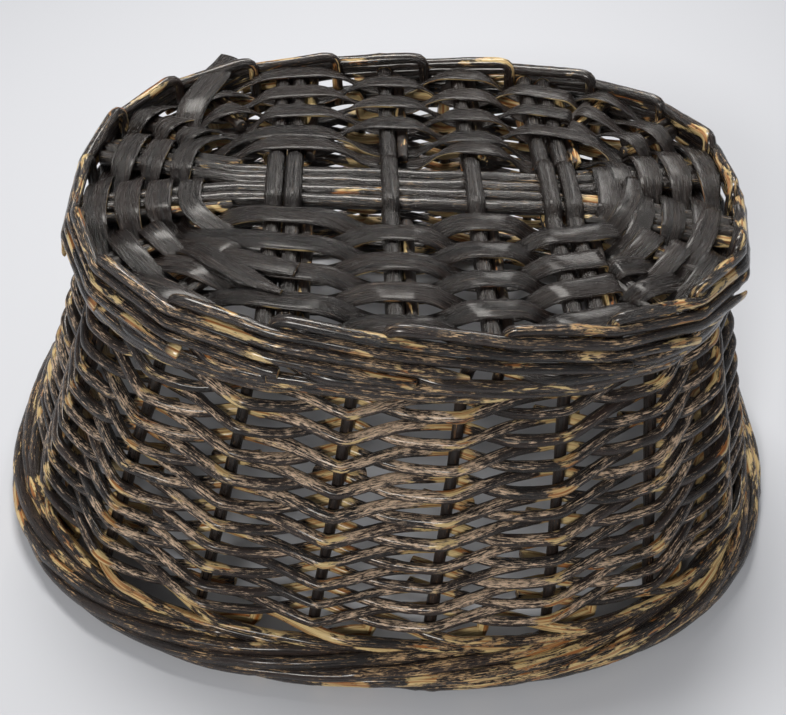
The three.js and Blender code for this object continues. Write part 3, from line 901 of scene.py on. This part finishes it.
def spoke_groups(row):
    """Groups of spokes that a splint takes together, counterclockwise from the front left."""
    front = [
        [*FRONT_STICKS[:2], BYES[13]], [FRONT_STICKS[2], BYES[14]],
        [FRONT_STICKS[3], BYES[15]], [*FRONT_STICKS[4:], BYES[16]],
    ]
    back = [
        [BYES[3], *BACK_STICKS[4:]], [BYES[4], BACK_STICKS[3]],
        [BYES[5], BACK_STICKS[2]], [BYES[6], *BACK_STICKS[:2]],
    ]

    def corners(*stakes):
        return [] if row < CORNERS_FROM else [[CORNERS[stake]] for stake in stakes]

    def rods(spokes, first_bye, last_bye):
        if row == 0:
            return [spokes]
        if row < 3:
            return [spokes[:2], spokes[2:]]
        return [[BYES[first_bye], *spokes[:2]], [*spokes[2:], BYES[last_bye]]]

    return [
        *front, *corners(17, 18), *rods(RIGHT_RODS, 19, 0), *corners(1, 2),
        *back, *corners(7, 8), *rods(LEFT_RODS, 9, 10), *corners(11, 12),
    ]


def group_stretches(row, measured):
    """Where each group lies along a splint: from its first spoke to its last, in millimetres."""
    stretches = []
    anchor = None
    for group in spoke_groups(row):
        places = []
        for spoke in group:
            angle = measured.oval.angle_of(spoke.meet(measured.oval))
            places.append((measured.length(angle), spoke.radius))
        if anchor is None:
            anchor = places[0][0] - 20
        places = [((place - anchor) % measured.total, radius) for place, radius in places]
        first = min(place - 0.45 * radius for place, radius in places)
        last = max(place + 0.45 * radius for place, radius in places)
        stretches.append((anchor + first, anchor + last, max(radius for _, radius in places)))
    return stretches


SPLINT_STEP = 1.5
SPLINT_TILT = math.radians(25)
SPLINT_DIVE = 1.8


def splint_path(row):
    """A splint's centreline, the direction across it and its width, over and under the groups."""
    measured = Measured(splint_oval(row))
    stretches = group_stretches(row, measured)
    places, heights = [], []
    for index, (first, last, radius) in enumerate(stretches):
        over = 1 if (index + row) % 2 == 0 else -1
        lift = over * (radius + SPLINT_THICKNESS / 2 + 0.35)
        following = stretches[(index + 1) % len(stretches)][0]
        if index + 1 == len(stretches):
            following += measured.total
        places += [first, last, (last + following) / 2]
        heights += [lift, lift, 0.0]
    turns = np.array([-measured.total, 0, measured.total])
    places = (turns[:, None] + np.array(places)).ravel()
    begin = next(p for p, h in zip(places[len(heights):], heights) if h < 0) + 2
    along = np.arange(begin, begin + measured.total - 2, SPLINT_STEP)
    height = softened(np.interp(along, places, np.tile(heights, 3)), 1)
    # A splint stays high over its spokes and dives close to where it crosses its neighbours.
    highest = CROSS_STICK_RADIUS + SPLINT_THICKNESS
    height = highest * np.tanh(SPLINT_DIVE * height / highest) / math.tanh(SPLINT_DIVE)
    angle = measured.angle(along)
    outward = unit(measured.oval.point(angle, 1.0) - measured.oval.point(angle, 0.0))
    level = np.clip(1 - np.abs(height) / highest, 0, 1)
    tilt = SPLINT_TILT * level**0.7
    across = np.column_stack([outward * np.cos(tilt)[:, None], -np.sin(tilt)])
    end_share = np.abs(np.cos(angle)) ** 3
    width = (11.2 + 0.4 * end_share) * (1 - 0.2 * level)
    path = np.column_stack([measured.oval.point(angle), BASE_LEVEL + height])
    return path, across, width


# Splint ends that have worked loose or were left long: the splint that each belongs to, the way it
# runs in plan, its height at each place above the base, its width and the share left at its tip.
LOOSE_ENDS = [
    {"splint": 6, "plan": [(-110, 40), (-107, 60), (-100, 80), (-93, 104)], "rise": [-4, 6.5, 8, 9],
     "width": 14, "tip": 0.8},
    {"splint": 6, "plan": [(-98, -46), (-88, -56), (-70, -72), (-46, -86)], "rise": [-4, 6.5, 7.5, 7.5],
     "width": 10, "tip": 0.15},
    {"splint": 5, "plan": [(-86, -52), (-74, -60), (-60, -66), (-41, -71)], "rise": [-4, 6.5, 7.5, 7.5],
     "width": 10, "tip": 0.85},
    {"splint": 4, "plan": [(98, -30), (107, -20), (112, -8), (113, 6)], "rise": [-4, 6, 7, 7],
     "width": 10, "tip": 0.6},
    {"splint": 7, "plan": [(126, -58), (137, -44), (143, -30), (147, -18)], "rise": [-4, 6.5, 7.5, 7.5],
     "width": 11, "tip": 0.7},
]


def add_loose_end(piece, loose):
    heights = BASE_LEVEL + np.array(loose["rise"])
    path, _ = spaced(rounded(np.column_stack([np.array(loose["plan"], float), heights])), SPLINT_STEP)
    tangent = unit(np.gradient(path, axis=0))
    across = unit(np.cross(tangent, [0.0, 0.0, 1.0])) * [1, 1, 0] - [0, 0, 0.12]
    count = len(path)
    narrowing = np.interp(np.arange(count), [0, 0.7 * count, count], [1, 1, loose["tip"]])
    add_splint(piece, path, unit(across), loose["width"] * narrowing, 0.3)


def build_splints():
    for row in range(SPLINTS):
        piece = Piece(200 + row)
        path, across, width = splint_path(row)
        add_splint(piece, path, across, width * piece.rng.uniform(0.92, 1.06), 0.25, crown=0.3)
        for loose in LOOSE_ENDS:
            if loose["splint"] == row + 1:
                add_loose_end(piece, loose)
        piece.build(f"splint_{row + 1}", MATERIALS["splint"], "splint", f"base_splint_{row + 1}")


def raised(point, level=BASE_LEVEL):
    return np.array([point[0], point[1], level])


def build_long_rods():
    for number in range(4):
        piece = Piece(300 + number)
        left, right = LEFT_RODS[3 - number], RIGHT_RODS[number]
        points = [raised(left.end), raised(left.inside), raised(right.inside), raised(right.end)]
        path, _ = spaced(np.array(points), 8)
        wear = 0.25 + 0.25 * drift(piece.rng, len(path), 3)
        add_rod(piece, path, LONG_ROD_RADIUS, wear, sides=16, bend=0.2)
        piece.build(f"long_rod_{number + 1}", MATERIALS["rod"], "long_rod", f"base_long_rod_{number + 1}")


SPLIT_LENGTH = 15.5
SPLIT_CLOSING = 6.5
SPLIT_LIFT = LONG_ROD_RADIUS + 1.9


def build_cross_sticks():
    """Each stick is split in the middle: one half passes over the long rods and one under them."""
    for index in range(len(CROSS_STICK_X)):
        piece = Piece(320 + index)
        front, back = FRONT_STICKS[index], BACK_STICKS[index]
        path, _ = spaced(np.array([raised(front.end), raised(back.end)]), 1.0)
        from_middle = np.abs(path[:, 1])
        opened = 1 - np.clip((from_middle - SPLIT_LENGTH) / SPLIT_CLOSING, 0, 1)
        opened = opened * opened * (3 - 2 * opened)
        upper = path.copy()
        upper[:, 2] += opened * SPLIT_LIFT
        add_split_stick(piece, upper, opened, 1)
        inner = from_middle < 23
        lower = path[inner].copy()
        lower[:, 2] -= opened[inner] * SPLIT_LIFT + 0.6
        add_split_stick(piece, lower, np.ones(inner.sum()), -1)
        number = index + 1
        node = f"base_cross_stick_{number}"
        piece.build(f"cross_stick_{number}", MATERIALS["stick"], "cross_stick", node)


def add_split_stick(piece, path, opened, side):
    """A stick whose far side from `side` is flat where it is split open."""
    rng = piece.rng
    path, opened = spaced(path, ROD_STEP, opened)
    count, sides = len(path), 16
    _, across, up = carried_frames(path)
    up = up * np.sign(up[:, 2:])
    across = np.cross(up, unit(np.gradient(path, axis=0)))
    turn = np.linspace(0, TURN, sides, endpoint=False)
    relief = streaks(rng, count, sides)
    reach = CROSS_STICK_RADIUS * (1 + 0.03 * drift(rng, count, 9)[:, None] + 0.02 * relief)
    x = reach * np.cos(turn)
    z = reach * np.sin(turn)
    flattened = np.where(z * side < 0, -side * 1.6 * np.abs(np.sin(turn)) ** 0.3, z * 0.72)
    z = z + (flattened - z) * opened[:, None]
    grid = path[:, None] + across[:, None] * x[..., None] + up[:, None] * z[..., None]
    directions = unit(grid - path[:, None])
    grain = np.stack([
        np.broadcast_to((np.arange(count) * ROD_STEP)[:, None], (count, sides)),
        x, z,
    ], axis=-1) + rng.uniform(0, 400, 3)
    raw = np.zeros((count, sides))
    raw[[0, -1]] = 1
    split_face = opened[:, None] * (np.sin(turn) * side < -0.1)
    # Painted light: the paler layer goes on thicker where the stick faces up, outwards and to the front.
    piece.add_tube(
        grid[:, ::-1], grain[:, ::-1],
        tone=rng.uniform(-1, 1),
        wear=(0.1 + 0.8 * split_face)[:, ::-1],
        relief=relief[:, ::-1],
        brush=painted_light_share(grid, directions)[:, ::-1],
        raw=raw[:, ::-1],
    )


STAKE_LEVELS = [160.0, 152.0, 146.0, 133.0, 120.0, 106.0, 92.0, 78.0, 64.0, 51.0, 38.0, 26.0, 14.0]
LINER_RADIUS = 2.6
LINER_START = 6


def build_stakes():
    """Each stake runs down the wall from its own place in the base. A corner stake has a liner rod."""
    for stake in range(STAKES):
        piece = Piece(340 + stake)
        spoke = CORNERS.get(stake) or BYES[stake]
        down = wall_point(stake, STAKE_LEVELS, -STAKE_INSET)
        inner = [raised(spoke.inside, BASE_LEVEL - 0.6), raised(spoke.end, BASE_LEVEL - 1)]
        path = rounded(np.concatenate([spaced(np.array(inner), 10)[0], down]), 3)
        wear = np.where(path[:, 2] > BASE_LEVEL - 4, 0.52, 0.12)
        add_rod(piece, path, STAKE_RADIUS, wear, ("stained", "cut"), sides=12)
        if stake in CORNERS:
            sideways = 1 if stake in (1, 2, 11, 12) else -1
            liner = spoke.beside(sideways, LINER_RADIUS, LINER_START)
            liner_path, _ = spaced(np.array([raised(liner.inside), raised(liner.end)]), 6)
            add_rod(piece, liner_path, LINER_RADIUS, 0.45, ("stained", "cut"), sides=12)
        piece.build(f"stake_{stake + 1:02d}", MATERIALS["stake"], "stake", f"side_stake_{stake + 1:02d}")


# ---- Floor, light and camera ------------------------------------------------------------------


def build_floor():
    mesh = bpy.data.meshes.new("floor")
    half = 4.0
    corners = [(-half, -half, 0), (half, -half, 0), (half, half, 0), (-half, half, 0)]
    mesh.from_pydata(corners, [], [(0, 1, 2, 3)])
    floor = bpy.data.objects.new("floor", mesh)
    bpy.context.scene.collection.objects.link(floor)
    n = Nodes("pale_floor")
    n.shader.inputs["Base Color"].default_value = srgb(204, 207, 214)
    n.shader.inputs["Roughness"].default_value = 0.75
    mesh.materials.append(n.material)


def add_light(name, place, target, size, power, colour):
    data = bpy.data.lights.new(name, "AREA")
    data.shape = "RECTANGLE"
    data.size, data.size_y = size
    data.energy = power
    data.color = colour
    light = bpy.data.objects.new(name, data)
    bpy.context.scene.collection.objects.link(light)
    light.location = place
    light.rotation_euler = (Vector(target) - Vector(place)).to_track_quat("-Z", "Y").to_euler()


def build_light():
    world = bpy.data.worlds.new("studio")
    world.use_nodes = True
    background = world.node_tree.nodes["Background"]
    background.inputs["Color"].default_value = (0.95, 0.96, 1.0, 1.0)
    background.inputs["Strength"].default_value = 0.17
    bpy.context.scene.world = world
    add_light("overhead", (-0.1, 0.45, 1.2), (0, 0, 0.1), (0.45, 0.3), 13, (1.0, 0.97, 0.92))
    add_light("back_lamp", (0.3, 1.1, 1.0), (0, 0, 0.12), (0.35, 0.2), 4, (1.0, 0.97, 0.93))
    add_light("front_fill", (-0.45, -1.3, 1.0), (0, 0, 0.1), (0.3, 0.2), 14, (1.0, 0.97, 0.92))
    bpy.context.scene.view_settings.view_transform = "Standard"


def build_camera():
    """A view from about 0.6 metres away, 44.5 degrees down and turned slightly."""
    focal_pixels, image_width, sensor = 1088, 786, 36.0
    pitch, yaw, roll = math.radians(44.5), math.radians(-0.26), math.radians(1.81)
    forward = Vector((math.cos(pitch) * math.sin(yaw), math.cos(pitch) * math.cos(yaw), -math.sin(pitch)))
    level_right = forward.cross(Vector((0, 0, 1))).normalized()
    level_up = level_right.cross(forward)
    right = math.cos(roll) * level_right + math.sin(roll) * level_up
    up = right.cross(forward)
    data = bpy.data.cameras.new("camera")
    data.sensor_width = sensor
    data.lens = focal_pixels / image_width * sensor
    camera = bpy.data.objects.new("camera", data)
    bpy.context.scene.collection.objects.link(camera)
    turn = Matrix((right, up, -forward)).transposed()
    place = Vector((3.1, -429.7, 477.1)) * MM
    camera.matrix_world = Matrix.Translation(place) @ turn.to_4x4()
    bpy.context.scene.camera = camera


build_camera()
build_light()
build_floor()
build_side_rows()
build_wale(
    "foot_wale_rod", "foot_wale", "foot_weave", "foot",
    strands=4, radius=2.8, level=FOOT_WALE_LEVEL + 1.5, spread=12.5, proud=1.2, seed=600,
)
build_wale(
    "rim_wale_rod", "rim_wale", "rim_weave", "rim",
    strands=3, radius=2.9, level=RIM_WALE_LEVEL + 1, spread=8.5, proud=-0.5, seed=620,
)
build_foot_border()
build_rim_border()
build_long_rods()
build_cross_sticks()
build_stakes()
build_splints()
